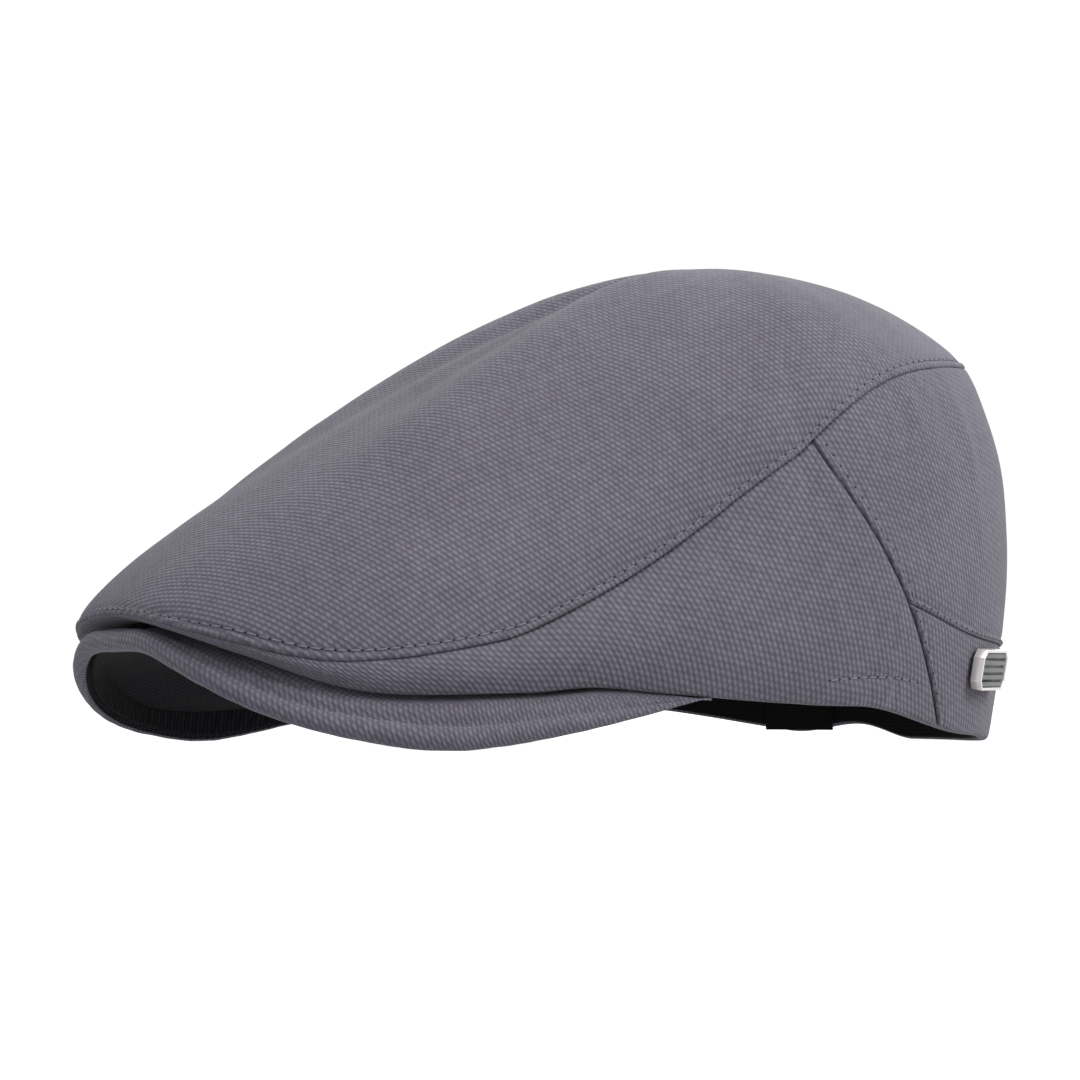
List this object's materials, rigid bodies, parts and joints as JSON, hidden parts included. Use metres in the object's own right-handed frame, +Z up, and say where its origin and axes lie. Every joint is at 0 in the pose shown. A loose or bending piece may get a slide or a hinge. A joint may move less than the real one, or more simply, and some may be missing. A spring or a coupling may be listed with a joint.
{
  "type": "flat cap",
  "caption": "Cloth flat cap with a long top panel sloping to a short stiff curved peak, cloth sides, back panel and band, black sweatband and a small plain metal badge.",
  "frame": {"origin": "middle of the cap's bounding box, on the surface that the cap rests on", "axes": "+Z up, -Y towards the front of the peak, +X towards the wearer's left"},
  "size_m": [0.1792, 0.2712, 0.1331],
  "materials": {
    "grey_cloth": "grey violet cotton in a small raised weave",
    "black_cloth": "black cotton",
    "badge_metal": "polished silver metal",
    "badge_plate": "grey ribbed metal"
  },
  "bodies": {
    "root": {"top_panel": "grey_cloth", "side_panel_left": "grey_cloth", "side_panel_right": "grey_cloth", "back_panel": "grey_cloth", "back_band": "grey_cloth", "peak": "grey_cloth", "peak_under": "black_cloth", "sweatband": "black_cloth", "size_strap": "black_cloth", "badge_frame": "badge_metal", "badge_insert": "badge_plate"}
  },
  "joints": []
}
